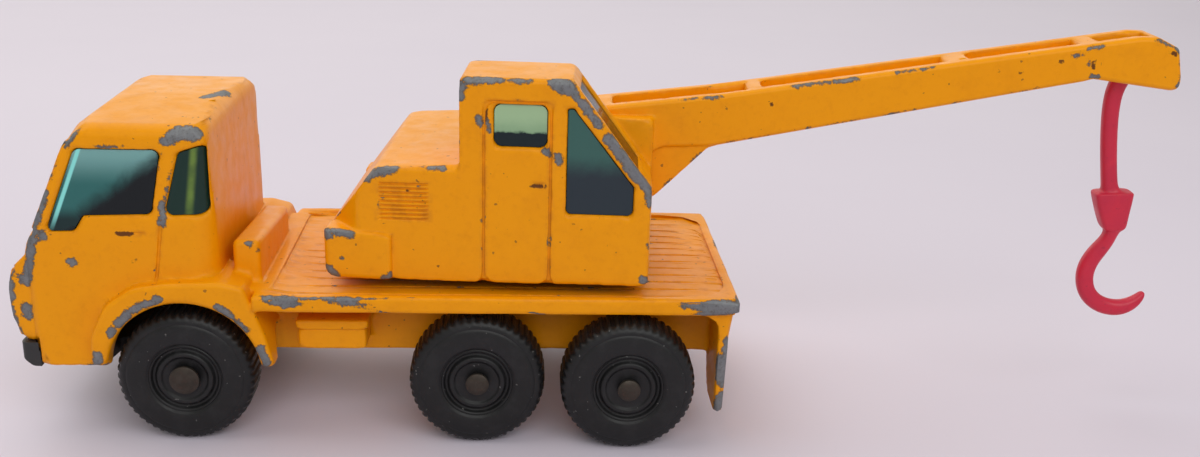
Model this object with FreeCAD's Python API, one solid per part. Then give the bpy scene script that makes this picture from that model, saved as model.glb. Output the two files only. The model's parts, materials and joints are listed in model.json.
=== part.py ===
"""A pocket-size die-cast toy crane truck, in millimetres.

Everything is drawn in the truck's own frame: X runs from the nose (-) to the tail (+) with 0 near
the front end of the deck, Y runs across from the driver's left (-) to the right (+), and Z is up
with 0 on the ground. The crane is drawn in a frame of its own, with X along the boom and the slew axis at 0.
At the end every piece moves along X, so that the origin is below the middle of the whole toy.
"""
import FreeCAD
import Part
import math
import os

Vector = FreeCAD.Vector
ORIGIN = Vector(0, 0, 0)
ALONG = Vector(1, 0, 0)
ACROSS = Vector(0, 1, 0)
UP = Vector(0, 0, 1)

# Castings
WALL = 1.2                       # wall of the hollow zinc castings
GAP = 0.06                       # gap between pieces that are assembled together

# Deck
DECK_FRONT, DECK_REAR = -0.65, 46.25
DECK_HALF_WIDTH = 14.0
DECK_TOP = 15.5
DECK_EDGE = 1.65                 # height of the deck's edge
RIM_WIDTH = 1.05
RIM_HEIGHT = 0.35
FLOOR_THICKNESS = 0.95
PLANK_PITCH = 2.03
PLANK_COUNT = 12
GROOVE_WIDTH = 0.4
GROOVE_DEPTH = 0.2
RAIL_INNER, RAIL_OUTER = 5.6, 7.4
RAIL_BOTTOM = 7.3
RAIL_END = 44.6

# Wheels and axles
WHEEL_RADIUS = 6.64
WHEEL_WIDTH = 4.5
WHEEL_FACE = 13.9                # outermost ring from the centre plane, before sideways play
HUB_RECESS = 0.35
AXLE_RADIUS = 0.75
AXLE_CLEARANCE = 0.07
AXLE_HEAD_RADIUS = 1.2
AXLE_HEAD_HEIGHT = 0.85
AXLES = {"front": (-7.42, 0.32), "mid": (20.79, -0.27), "rear": (35.57, -1.5)}   # X, sideways play taken

# Cab
CAB_BOTTOM = 7.5
CAB_HALF_WIDTH = 12.45
ARCH_X, ARCH_Z, ARCH_RADIUS = -7.3, 7.2, 7.35
ARCH_INNER = 7.8                 # how far in from the sides the wheel arches reach
FENDER_FACE = 13.9
FENDER_ROUNDING = 0.5
FOOT_BOTTOM = 8.15               # lowest point of the arch's front foot
PLATE_BOTTOM, PLATE_TOP = 7.0, 8.3
SINK_TOP = 7.7                   # top of the countersinks in the base plate
STUD_RADIUS, STUD_HEAD_RADIUS = 1.5, 2.2
STUDS = (-17.8, -1.5)            # X of the two studs that hold the base plate
GLASS_THICKNESS = 0.9
GLASS_RECESS = 0.25              # depth of the panes behind the outer surface

# Crane
SLEW_X = 22.95
REST_YAW = -3.9                  # degrees, the boom's angle from straight back as the toy stands
CRANE_BOTTOM = 16.4
CRANE_HALF_WIDTH = 12.0
CRANE_CAB_INNER = -4.0           # the operator's cab runs from here to the crane's right side
RIVET_RADIUS = 1.5
TURNTABLE_RADIUS = 6.0

# Boom, hook and pin
BOOM_WALL = 1.35
BOOM_ROUNDING = 0.5
PIN_X, PIN_Z, PIN_RADIUS = 63.15, 37.9, 0.6
PIN_NEAR_END, PIN_FAR_END = 2.05, 2.58   # reach to the crane's right and left; the right end is blind
HOOK_THICKNESS = 1.65
SLOT_HALF_WIDTH = 1.15


def box(x_low, x_high, y_low, y_high, z_low, z_high):
    return Part.makeBox(x_high - x_low, y_high - y_low, z_high - z_low, Vector(x_low, y_low, z_low))


def rod(x, z, radius, y_low, y_high):
    """A cylinder across the toy."""
    return Part.makeCylinder(radius, y_high - y_low, Vector(x, y_low, z), ACROSS)


def post(x, y, radius, z_low, z_high):
    """An upright cylinder."""
    return Part.makeCylinder(radius, z_high - z_low, Vector(x, y, z_low), UP)


def fused(shapes):
    return shapes[0].multiFuse(shapes[1:]).removeSplitter()


def both_sides(shape):
    return [shape, shape.mirror(ORIGIN, ACROSS)]


def outline(points, place):
    """A closed wire through (u, v) or (u, v, radius) corners, each rounded to its radius."""
    corners = [Vector(p[0], p[1], 0) for p in points]
    radii = [p[2] if len(p) > 2 else 0 for p in points]
    cuts = []
    for i, here in enumerate(corners):
        back = (corners[i - 1] - here).normalize()
        ahead = (corners[(i + 1) % len(corners)] - here).normalize()
        if radii[i] == 0:
            cuts.append((here, None, here))
            continue
        half = back.getAngle(ahead) / 2
        reach = radii[i] / math.tan(half)
        inward = (back + ahead).normalize()
        middle = here + inward * (radii[i] / math.sin(half) - radii[i])
        cuts.append((here + back * reach, middle, here + ahead * reach))
    edges = []
    for i, (start, middle, end) in enumerate(cuts):
        last = cuts[i - 1][2]
        if last.distanceToPoint(start) > 1e-6:
            edges.append(Part.makeLine(place(last), place(start)))
        if middle is not None:
            edges.append(Part.Arc(place(start), place(middle), place(end)).toShape())
    return Part.Wire(edges)


def prism(points, axis, low, high, inset=0.0):
    """An outline drawn in the plane across an axis, shrunk by inset and carried from low to high."""
    places = {
        "x": lambda p: Vector(low, p.x, p.y),
        "y": lambda p: Vector(p.x, low, p.y),
        "z": lambda p: Vector(p.x, p.y, low),
    }
    ways = {"x": ALONG, "y": ACROSS, "z": UP}
    face = Part.Face(outline(points, places[axis]))
    if inset:
        face = face.makeOffset2D(-inset)
    return face.extrude(ways[axis] * (high - low))


def softened(shape, radius):
    """Rounds every edge of a simple block."""
    return shape.makeFillet(radius, shape.Edges)


# ---------------------------------------------------------------- truck body

def cab_block(inset=0.0):
    """The cab's outer form, or the same form shrunk by inset and open at the bottom."""
    bottom = CAB_BOTTOM - 2 * inset
    side = [
        (-21.9, bottom), (-21.9, 19.2, 1.0), (-20.85, 21.4, 1.5), (-17.5, 29.3, 5.0),
        (-15.7, 31.9, 2.6), (-4.3, 31.95, 1.9), (-3.95, 16.5), (-3.95, bottom),
    ]
    plan = [
        (-21.8, -CAB_HALF_WIDTH, 1.1), (-21.9, -8.0, 2.0), (-21.9, 8.0, 2.0), (-21.8, CAB_HALF_WIDTH, 1.1),
        (-3.95, CAB_HALF_WIDTH, 2.4), (-3.95, -CAB_HALF_WIDTH, 2.4),
    ]
    front = [
        (-CAB_HALF_WIDTH, bottom), (-CAB_HALF_WIDTH, 21.5, 10.0), (-11.75, 31.3, 1.4), (0, 31.95, 60.0),
        (11.75, 31.3, 1.4), (CAB_HALF_WIDTH, 21.5, 10.0), (CAB_HALF_WIDTH, bottom),
    ]
    block = prism(side, "y", -20, 20, inset)
    block = block.common(prism(plan, "z", -10, 50, inset))
    return block.common(prism(front, "x", -40, 20, inset))


def door_window(grow=0.0):
    """Both door panes, right through the cab."""
    points = [
        (-19.5, 21.2, 0.5), (-16.9, 21.25, 0.6), (-15.95, 22.75, 0.4), (-9.65, 22.95, 0.7),
        (-8.55, 29.1, 0.7), (-16.4, 29.1, 0.8),
    ]
    return prism(points, "y", -20, 20, -grow)


def quarter_window(grow=0.0):
    """Both small panes behind the doors, which run on round the cab's rear corners."""
    points = [(-8.5, 22.85, 0.7), (-4.35, 23.0, 0.9), (-4.35, 29.7, 0.5), (-6.95, 28.85, 0.7)]
    return fused(both_sides(prism(points, "y", -20, -10.6, -grow)))


def windscreen(grow=0.0):
    points = [(-10.9, 21.9, 0.8), (10.9, 21.9, 0.8), (10.3, 29.6, 1.2), (-10.3, 29.6, 1.2)]
    return prism(points, "x", -30, -12, -grow)


def nose_panel():
    """The raised grille panel, with a lamp at each end."""
    side = [
        (-21.0, 9.96), (-23.0, 9.96, 0.3), (-23.6, 12.4, 3.0), (-23.75, 15.3, 3.0),
        (-23.3, 17.25, 0.5), (-21.8, 18.75, 0.3), (-21.0, 18.75),
    ]
    plan = [(-20.0, -12.1), (-23.75, -11.95, 0.35), (-23.75, 11.95, 0.35), (-20.0, 12.1)]
    panel = prism(side, "y", -13, 13).common(prism(plan, "z", 5, 25))
    recess = box(-25, -23.2, -6.6, 6.6, 12.0, 16.4)
    bars = [box(-23.55, -23.0, -6.6, 6.6, z, z + 0.5) for z in (12.65, 13.7, 14.75, 15.8)]
    lamps = [
        Part.makeCylinder(1.55, 1.0, Vector(-23.95, y, 14.3), ALONG) for y in (-8.9, 8.9)
    ]
    return fused([panel.cut(recess)] + bars + lamps)


def fender(inner, outer, front_end=-30.0):
    """The wheel arch's flare on the left side, with its top running back to the deck."""
    points = [
        (-16.0, FOOT_BOTTOM, 0.5), (-15.95, 10.9, 3.0), (-14.4, 14.2, 3.0), (-11.7, 16.1, 3.0),
        (-8.5, 16.6, 4.0), (-3.5, 16.75, 2.0), (-1.35, 16.2, 0.8), (0.5, 11.4, 6.0),
        (1.35, FOOT_BOTTOM - 0.1, 0.3), (-0.8, FOOT_BOTTOM - 0.1),
    ]
    flare = prism(points, "y", -outer, -inner)
    on_face = [e for e in flare.Edges if abs(e.BoundBox.YMax + outer) < 1e-6]
    flare = flare.makeFillet(FENDER_ROUNDING, [e for e in on_face if e.BoundBox.ZMax > FOOT_BOTTOM + 0.5])
    under_edge = prism([(-12.9, 7.0), (-9.0, 10.4), (-5.0, 10.4), (-5.0, 5.0), (-12.9, 5.0)], "x", -4.0, 4.0)
    return flare.common(box(front_end, 5, -20, 0, 0, 30)).cut(under_edge)


def cab_shell():
    wheel_room = rod(ARCH_X, ARCH_Z, ARCH_RADIUS, -20, -ARCH_INNER)
    solid = cab_block()
    hollow = cab_block(WALL)
    flares = both_sides(fender(CAB_HALF_WIDTH - WALL, FENDER_FACE))
    guards = both_sides(fender(RAIL_OUTER - 0.4, FENDER_FACE, front_end=-4.6))
    shell = fused([solid.cut(hollow), nose_panel()] + flares + guards)
    shell = shell.cut(both_sides(wheel_room) + [door_window(), quarter_window(), windscreen()])
    return shell.cut(both_sides(door_lines()))


def door_lines():
    """The door's shut lines and handle slot, cut into the left side."""
    face = -CAB_HALF_WIDTH
    rear = prism([(-9.75, 16.3), (-8.9, 22.4), (-8.65, 22.4), (-9.5, 16.3)], "y", face - 1, face + 0.22)
    handle = box(-11.6, -10.4, face - 1, face + 0.15, 21.0, 21.3)
    return rear.fuse(handle)


def tank_hump():
    """The rounded box across the space behind the cab, falling away to the right."""
    block = prism([(-10.1, 14.2), (-10.0, 19.7), (5.7, 18.4), (5.7, 14.2)], "x", -2.95, -0.3)
    return softened(block, 0.6)


def deck():
    plan = [
        (DECK_FRONT, -DECK_HALF_WIDTH, 0.5), (DECK_REAR, -DECK_HALF_WIDTH, 0.4),
        (DECK_REAR, DECK_HALF_WIDTH, 0.4), (DECK_FRONT, DECK_HALF_WIDTH, 0.5),
    ]
    floor_top = DECK_TOP - RIM_HEIGHT
    slab = prism(plan, "z", DECK_TOP - DECK_EDGE, DECK_TOP)
    front, rear = DECK_FRONT + RIM_WIDTH, DECK_REAR - RIM_WIDTH
    inside = DECK_HALF_WIDTH - RIM_WIDTH
    cuts = [box(front, rear, -inside, inside, floor_top, DECK_TOP + 1)]
    for i in range(PLANK_COUNT + 1):
        y = (i - PLANK_COUNT / 2) * PLANK_PITCH
        low = floor_top - GROOVE_DEPTH
        cuts.append(box(front, rear, y - GROOVE_WIDTH / 2, y + GROOVE_WIDTH / 2, low, DECK_TOP))
    under = floor_top - GROOVE_DEPTH - FLOOR_THICKNESS
    hollow_half = DECK_HALF_WIDTH - WALL
    cuts.append(box(DECK_FRONT + WALL, DECK_REAR - WALL, -hollow_half, hollow_half, 5, under))
    return slab.cut(cuts)


def chassis():
    """Rails, cross members, axle lugs and the boss that the crane turns on."""
    top = DECK_TOP - DECK_EDGE + 0.5
    rail = box(-4.8, RAIL_END, -RAIL_OUTER, -RAIL_INNER, RAIL_BOTTOM, top)
    pieces = both_sides(rail)
    for name in ("mid", "rear"):
        x = AXLES[name][0]
        lug = prism([(x - 2.3, 8), (x - 1.5, 5.1, 0.8), (x + 1.5, 5.1, 0.8), (x + 2.3, 8)], "y",
                    -RAIL_OUTER, -RAIL_INNER)
        pieces += both_sides(lug)
    for x, low in ((-2.1, 8.6), (13.5, 10.2), (28.1, 10.2), (RAIL_END - WALL, 9.6)):
        pieces.append(box(x, x + WALL, -RAIL_OUTER + 0.2, RAIL_OUTER - 0.2, low, top))
    pieces.append(post(SLEW_X, 0, 4.0, 12.3, top))
    pieces.append(box(SLEW_X - 9.0, SLEW_X + 6.0, -WALL / 2, WALL / 2, 12.3, top))
    body = fused(pieces)
    bores = [rod(AXLES[n][0], WHEEL_RADIUS, AXLE_RADIUS + AXLE_CLEARANCE, -9, 9) for n in ("mid", "rear")]
    return body.cut(bores)


def side_tank():
    """The locker under the deck, a box below a slightly larger lid."""
    locker = box(3.2, 9.85, -11.2, -RAIL_OUTER + 0.3, 8.9, 11.1)
    lid = softened(box(3.0, 10.05, -11.4, -RAIL_OUTER + 0.3, 11.0, 12.0), 0.25)
    return fused([softened(locker, 0.3), lid])


def mudflap():
    """A plate below the deck's rear corner, thinner and narrower towards its lower end."""
    front = [(-13.2, 14.1), (-4.2, 14.1), (-4.4, 11.0, 3.0), (-7.4, 3.3, 0.6), (-13.2, 3.1, 0.4)]
    side = [(44.4, 14.1), (45.9, 14.1), (45.5, 11.2, 4.0), (45.3, 3.0, 0.3), (44.4, 3.0, 0.3)]
    return prism(front, "x", 44, 46).common(prism(side, "y", -14, -4))


def rivet_stud(x, top):
    """A cast stud that passes through the base plate and is spun over in its countersink."""
    low = PLATE_BOTTOM + GAP
    return fused([post(x, 0, STUD_RADIUS, low, top), post(x, 0, STUD_HEAD_RADIUS, low, SINK_TOP - GAP)])


def body_casting():
    apron = box(-4.8, 1.0, -CAB_HALF_WIDTH + 0.3, CAB_HALF_WIDTH - 0.3, 14.0, DECK_TOP)
    shelf = box(-21.0, -15.2, -2.6, 2.6, 8.9, 12.0)
    pieces = [cab_shell(), deck(), chassis(), apron, shelf, tank_hump()]
    pieces += both_sides(side_tank()) + both_sides(mudflap())
    studs = [rivet_stud(STUDS[0], 9.5), rivet_stud(STUDS[1], 9.2)]
    pieces += studs
    casting = fused(pieces).cut(bumper_room())
    tongue_notch = box(-23, -19.5, -5.2, 5.2, 6.0, 8.75)
    stud_room = fused(studs)
    turning_bore = post(SLEW_X, 0, RIVET_RADIUS + 0.07, 10, 20)
    under_shelf = box(-20.4, 0.5, -RAIL_INNER, RAIL_INNER, 7.0, 8.6).cut(stud_room)
    return casting.cut([tongue_notch.cut(stud_room), turning_bore, under_shelf]).removeSplitter()


def cab_glazing():
    """One moulded insert whose panes stand into the window openings."""
    outer = cab_block(WALL + GAP)
    inner = cab_block(WALL + GAP + GLASS_THICKNESS)
    band = box(-30, 5, -20, 20, 20.6, 30.1)
    panes = fused([door_window(-GAP), quarter_window(-GAP)])
    panes = panes.fuse(windscreen(-GAP)).common(cab_block(GLASS_RECESS))
    return fused([outer.common(band), panes]).cut(inner)


def bumper_room():
    """The notches in the cab's lower front corners that the bumper's ends wrap into."""
    return both_sides(box(-25, -21.15, -13, -11.35, 6, 9.96))


def base_plate():
    """The black plate under the cab, with the bumper and the front axle's lugs."""
    low, high = PLATE_BOTTOM, PLATE_TOP
    plan = [
        (-20.4, -11.0, 1.0), (-15.7, -11.0, 1.0), (-15.0, -7.0, 1.0), (1.2, -7.0, 0.8),
        (1.2, 7.0, 0.8), (-15.0, 7.0, 1.0), (-15.7, 11.0, 1.0), (-20.4, 11.0, 1.0),
    ]
    beside_rails = box(-5.4, 3, 5.4, 20, low, high)
    plate = prism(plan, "z", low, high).cut(both_sides(beside_rails))
    tongue = box(-22.3, -19.0, -5.0, 5.0, 7.4, high)
    bumper_side = [
        (-20.4, 7.4), (-22.0, 7.45, 0.8), (-23.1, 8.4, 0.6), (-23.1, 9.9, 0.2), (-20.4, 9.9),
    ]
    bumper_plan = [(-21.21, -12.35), (-22.9, -12.3, 0.5), (-23.1, -11.0, 1.0), (-23.1, 11.0, 1.0),
                   (-22.9, 12.3, 0.5), (-21.21, 12.35)]
    bumper = prism(bumper_side, "y", -13, 13).common(prism(bumper_plan, "z", 5, 12))
    cab = cab_block(-GAP).cut(both_sides(box(-25, -21.1, -14, -11.41, 5, 10)))
    bumper = bumper.cut([cab, cab.translated(Vector(0, 0, -1))])
    x = AXLES["front"][0]
    lug = prism([(x - 1.6, high), (x - 1.4, 5.1, 0.7), (x + 1.4, 5.1, 0.7), (x + 1.6, high)], "y", -7.0, -5.4)
    holes = []
    for stud_x in STUDS:
        holes.append(post(stud_x, 0, STUD_RADIUS + GAP, 0, 20))
        holes.append(post(stud_x, 0, STUD_HEAD_RADIUS + GAP, 0, SINK_TOP))
    holes.append(rod(x, WHEEL_RADIUS, AXLE_RADIUS + AXLE_CLEARANCE, -9, 9))
    holes.append(box(x - 0.95, x + 0.95, -5.4, 5.4, 5, 7.35))
    plate = plate.common(cab_block(WALL + GAP))
    return fused([plate, tongue, bumper] + both_sides(lug)).cut(holes)


# ---------------------------------------------------------------- wheels and axles

def wheel(x, face, side):
    """A one-piece wheel; face is the Y of its outermost ring and side is -1 or 1."""
    bore = AXLE_RADIUS + AXLE_CLEARANCE
    inner = -WHEEL_WIDTH
    points = [
        (-HUB_RECESS, bore), (-HUB_RECESS, 2.1, 0.1), (-0.15, 2.4, 0.1), (-0.15, 2.65, 0.1),
        (-0.6, 2.85), (-0.6, 3.2), (0.0, 3.55, 0.15), (-0.05, 4.6, 2.0), (-0.75, WHEEL_RADIUS, 0.35),
        (inner, WHEEL_RADIUS, 0.5), (inner, 5.2), (inner + 0.9, 5.0), (inner + 0.9, 2.2),
        (inner + 0.1, 2.0), (inner + 0.1, bore),
    ]
    wire = outline(points, lambda p: Vector(x + p.y, face + side * p.x, WHEEL_RADIUS))
    return Part.Face(wire).revolve(Vector(x, 0, WHEEL_RADIUS), ACROSS, 360)


def axle(x, play):
    """A pin with a rounded head at each end, outside the wheels."""
    head_seat = WHEEL_FACE - HUB_RECESS + GAP
    pin = rod(x, WHEEL_RADIUS, AXLE_RADIUS, play - head_seat - 0.2, play + head_seat + 0.2)
    head = Part.makeCylinder(AXLE_HEAD_RADIUS, AXLE_HEAD_HEIGHT, Vector(x, head_seat, WHEEL_RADIUS), ACROSS)
    rim = [e for e in head.Edges if abs(e.BoundBox.Center.y - head_seat - AXLE_HEAD_HEIGHT) < 0.01]
    head = head.makeFillet(0.45, rim)
    heads = [h.translated(Vector(0, play, 0)) for h in both_sides(head)]
    return fused([pin] + heads)


# ---------------------------------------------------------------- crane, in its own frame

def engine_house(inset=0.0):
    """The low housing across the whole crane."""
    bottom = CRANE_BOTTOM - 2 * inset
    tail = CRANE_BOTTOM if inset else CRANE_BOTTOM + 0.9
    side = [
        (-15.3, bottom), (-16.1, tail), (-16.1, 20.9, 0.7), (-11.2, 27.5, 1.2), (-3.2, 28.0),
        (9.0, 27.9, 1.0), (15.15, 24.3, 0.8), (15.15, bottom),
    ]
    plan = [
        (-16.1, -8.6, 1.0), (-12.9, -CRANE_HALF_WIDTH, 1.0), (15.15, -CRANE_HALF_WIDTH, 0.5),
        (15.15, CRANE_HALF_WIDTH, 1.2), (-12.9, CRANE_HALF_WIDTH, 1.0), (-16.1, 8.6, 1.0),
    ]
    front = [
        (-CRANE_HALF_WIDTH, bottom), (-CRANE_HALF_WIDTH, 28.0, 0.9), (CRANE_HALF_WIDTH, 28.0, 0.9),
        (CRANE_HALF_WIDTH, bottom),
    ]
    block = prism(side, "y", -20, 20, inset).common(prism(plan, "z", -10, 50, inset))
    return block.common(prism(front, "x", -30, 30, inset))


def operator_cab(inset=0.0):
    """The tall cab on the crane's right side."""
    bottom = CRANE_BOTTOM - 2 * inset
    side = [(-3.1, bottom), (-3.1, 36.6, 0.6), (7.3, 36.7, 0.5), (15.15, 26.3, 0.5), (15.15, bottom)]
    front = [
        (-CRANE_HALF_WIDTH, bottom), (-CRANE_HALF_WIDTH, 36.5, 0.6), (CRANE_CAB_INNER, 36.65, 0.5),
        (CRANE_CAB_INNER, bottom),
    ]
    return prism(side, "y", -20, 20, inset).common(prism(front, "x", -30, 30, inset))


def small_window(grow=0.0):
    points = [(0.1, 30.0, 0.8), (5.15, 30.0, 0.8), (5.15, 34.1, 0.8), (0.1, 34.1, 0.8)]
    return prism(points, "y", -20, -8, -grow)


def front_side_window(grow=0.0):
    points = [
        (7.0, 23.55, 0.5), (13.4, 23.55, 0.6), (13.4, 26.4, 0.6), (7.6, 33.8, 0.25), (7.0, 33.8, 0.25),
    ]
    return prism(points, "y", -20, -8, -grow)


def crane_windscreen(grow=0.0):
    points = [(-10.95, 27.6, 0.4), (-5.05, 27.6, 0.4), (-5.05, 35.4, 0.4), (-10.95, 35.4, 0.4)]
    return prism(points, "x", 5, 20, -grow)


def side_lines():
    """Door shut lines, handle and louvres cut into the crane's right side."""
    face = -CRANE_HALF_WIDTH
    lines = [box(x - 0.12, x + 0.12, face - 1, face + 0.2, CRANE_BOTTOM, 34.4) for x in (-0.8, 5.5)]
    lines.append(box(-0.8, 5.5, face - 1, face + 0.2, 34.2, 34.44))
    lines.append(box(3.6, 5.0, face - 1, face + 0.15, 26.2, 26.5))
    for i in range(9):
        z = 22.5 + 0.43 * i
        lines.append(box(-11.0, -5.9, face - 1, face + 0.18, z, z + 0.2))
    return lines


def corner_box():
    """The proud block at the housing's lower rear right corner."""
    plan = [
        (-16.1, -9.2, 0.4), (-16.2, -12.3, 0.8), (-9.6, -12.6, 0.5), (-9.6, -11.0), (-13.0, -11.0),
        (-14.8, -8.9),
    ]
    side = [
        (-15.4, CRANE_BOTTOM), (-16.4, CRANE_BOTTOM + 0.9), (-16.4, 21.45), (-9.0, 21.0),
        (-9.0, CRANE_BOTTOM),
    ]
    return prism(plan, "z", 10, 30).common(prism(side, "y", -14, -5))


def boom_plan(inset):
    points = [(5.0, -3.15), (68.0, -2.6), (68.0, 2.6), (5.0, 3.15)]
    return prism(points, "z", 10, 50, inset)


def on_beam_top(bounds):
    """Whether an edge of the beam is one of its two long upper ones."""
    middle = bounds.Center
    return abs(middle.y) > 2.5 and bounds.ZMin > 31.5 and middle.z - 0.2 * middle.x > 26.1


def boom():
    """An open-topped channel with ribs, on a gusset that braces it to the housing's front wall."""
    beam_side = [
        (5.2, 26.0), (9.4, 32.0, 0.6), (22.1, 33.7, 30.0), (62.8, 40.7, 1.0), (64.5, 40.7, 0.8),
        (66.6, 39.7, 0.6), (67.3, 36.6, 3.0), (67.15, 35.4, 0.5), (58.6, 36.4, 0.5), (57.6, 36.1, 0.5),
        (51.4, 34.8), (21.1, 28.3, 1.0), (15.7, 28.0), (12.0, 26.0),
    ]
    beam = prism(beam_side, "y", -5, 5).common(boom_plan(0.0))
    beam = beam.makeFillet(BOOM_ROUNDING, [e for e in beam.Edges if on_beam_top(e.BoundBox)])
    gusset = prism([(14.2, 20.8), (15.5, 22.7, 0.3), (21.6, 28.9), (14.2, 28.9)], "y", -2.75, 2.75)
    pockets = [
        [(11.2, 34), (11.2, 29.6), (24.6, 30.6), (24.6, 36)],
        [(26.2, 36), (26.2, 32.8), (44.2, 35.8), (44.2, 40)],
        [(46.6, 40), (46.6, 36.6), (57.2, 38.3), (57.2, 42)],
    ]
    cuts = [prism(p, "y", -5, 5).common(boom_plan(BOOM_WALL)) for p in pockets]
    head_slot = box(58.9, 66.1, -SLOT_HALF_WIDTH, SLOT_HALF_WIDTH, 30, 39.6)
    head_slot = head_slot.fuse(box(59.0, 64.0, -SLOT_HALF_WIDTH, SLOT_HALF_WIDTH, 39, 42))
    pin_bore = rod(PIN_X, PIN_Z, PIN_RADIUS + 0.02, -PIN_NEAR_END - 0.02, 4)
    return fused([beam, gusset]).cut(cuts + [head_slot, pin_bore])


def cheek():
    """The pad between the operator's cab and the boom's root, and its match on the other side."""
    points = [(8.2, 26.0), (8.2, 31.3, 0.5), (15.25, 31.3, 0.5), (15.25, 22.0), (12.0, 22.0)]
    return prism(points, "y", -4.5, -2.9)


def crane_casting():
    house = engine_house().cut(engine_house(WALL))
    cab = operator_cab()
    hollows = [operator_cab(WALL), engine_house(WALL)]
    shell = fused([house, cab]).cut(hollows)
    shell = shell.cut([small_window(), front_side_window(), crane_windscreen()] + side_lines())
    return fused([shell, boom()] + both_sides(cheek()) + both_sides(corner_box()))


def crane_glazing():
    """One moulded insert for the operator's cab."""
    outer = operator_cab(WALL + GAP)
    inner = operator_cab(WALL + GAP + GLASS_THICKNESS)
    band = box(-20, 20, -20, CRANE_CAB_INNER - WALL, 23.0, 35.2)
    panes = fused([small_window(-GAP), front_side_window(-GAP), crane_windscreen(-GAP)])
    panes = panes.common(operator_cab(GLASS_RECESS))
    insert = fused([outer.common(band), panes]).cut(inner)
    walls = fused([boom(), cheek()])
    return insert.cut(walls).cut(box(-20, 20, CRANE_CAB_INNER - WALL - GAP, 20, 0, 50))


def crane_base():
    """The plate that closes the housing from below, with the turntable it stands on."""
    level = CRANE_BOTTOM + 0.25
    plan = engine_house(WALL + GAP).common(box(-20, 20, -20, 20, level, level + 1.1))
    table = post(0, 0, TURNTABLE_RADIUS, DECK_TOP - RIM_HEIGHT + GAP, level + 0.3)
    return fused([plan, table]).cut(post(0, 0, RIVET_RADIUS + 0.02, 0, 50))


def slew_rivet():
    low = 12.3 - GAP
    high = CRANE_BOTTOM + 0.25 + 1.1
    shank = post(0, 0, RIVET_RADIUS, low - 0.5, high + 0.4)
    foot = post(0, 0, 2.7, low - 0.9, low)
    head = post(0, 0, 2.4, high, high + 0.7)
    return fused([shank, foot, head])


def hook():
    """A stiff one-piece moulding: eye, bent stem, weight block and hook."""
    half = HOOK_THICKNESS / 2
    bowl_x, bowl_z = 65.4, 15.0
    bowl_outer, bowl_inner = 4.6, 2.75
    stem = prism([
        (PIN_X - 1.1, PIN_Z + 0.4), (60.95, 35.2, 4.0), (60.95, 31.6, 10.0), (62.15, 23.6), (63.8, 23.6),
        (62.6, 31.6, 10.0), (62.65, 34.6, 4.0), (PIN_X + 0.95, PIN_Z - 0.6)], "y", -half, half)
    block = prism([(61.3, 24.2, 0.5), (65.3, 24.2, 0.6), (65.1, 20.3, 0.4), (62.7, 20.2, 0.4)],
                  "y", -half - 0.4, half + 0.4)
    bowl = Part.makeCylinder(bowl_outer, HOOK_THICKNESS, Vector(bowl_x, -half, bowl_z), ACROSS)
    bowl = bowl.cut(rod(bowl_x, bowl_z, bowl_inner, -5, 5))
    throat = prism([
        (bowl_x, bowl_z), (bowl_x - 6.0, bowl_z + 4.2), (bowl_x, bowl_z + 9), (bowl_x + 9, bowl_z + 9),
        (bowl_x + 9, bowl_z - 3), (bowl_x + 2.9, bowl_z - 1.4)], "y", -5, 5)
    taper = prism([(65.9, 10.1), (68.3, 12.6), (68.6, 14.5), (72, 14.5), (72, 8), (65.9, 8)], "y", -5, 5)
    bowl = bowl.cut([throat, taper])
    shank = prism([(61.5, 17.6), (62.85, 16.6), (64.5, 18.9, 1.0), (64.4, 20.6), (63.2, 20.6),
                   (63.0, 19.6, 1.0)], "y", -half, half)
    eye = rod(PIN_X, PIN_Z, 1.45, -half, half)
    return fused([stem, block, bowl, shank, eye]).cut(rod(PIN_X, PIN_Z, PIN_RADIUS + 0.08, -5, 5))


def hook_pin():
    """Pressed into the boom's head from the crane's left side."""
    return rod(PIN_X, PIN_Z, PIN_RADIUS, -PIN_NEAR_END, PIN_FAR_END)


def in_truck(shape):
    """Turns a crane piece to its rest angle and puts it over the slew axis."""
    turned = shape.copy()
    turned.rotate(ORIGIN, UP, REST_YAW)
    return turned.translated(Vector(SLEW_X, 0, 0))


def assembly():
    nodes = {
        "body_casting": body_casting(),
        "cab_glazing": cab_glazing(),
        "base_plate": base_plate(),
        "crane_casting": in_truck(crane_casting()),
        "crane_glazing": in_truck(crane_glazing()),
        "crane_base": in_truck(crane_base()),
        "slew_rivet": in_truck(slew_rivet()),
        "hook": in_truck(hook()),
        "hook_pin": in_truck(hook_pin()),
    }
    for name, (x, play) in AXLES.items():
        nodes["axle_" + name] = axle(x, play)
        nodes["wheel_" + name + "_left"] = wheel(x, play - WHEEL_FACE, -1)
        nodes["wheel_" + name + "_right"] = wheel(x, play + WHEEL_FACE, 1)
    return nodes


def centred(nodes):
    """Moves every piece along X, so that the origin is below the middle of the toy."""
    whole = Part.makeCompound(list(nodes.values())).optimalBoundingBox(False)
    middle = (whole.XMin + whole.XMax) / 2
    print("middle of the toy along the truck's X: %.4f" % middle)
    return {name: shape.translated(Vector(-middle, 0, 0)) for name, shape in nodes.items()}


NODES = centred(assembly())
os.makedirs("parts", exist_ok=True)
for node, shape in NODES.items():
    print("%-20s solids %d valid %s volume %.1f" % (node, len(shape.Solids), shape.isValid(), shape.Volume))
    shape.exportStep("parts/" + node + ".step")
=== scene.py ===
import json
import math

import bmesh
import bpy
import numpy as np
from mathutils import Matrix, Vector
from mathutils.bvhtree import BVHTree
from mathutils.kdtree import KDTree


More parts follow.
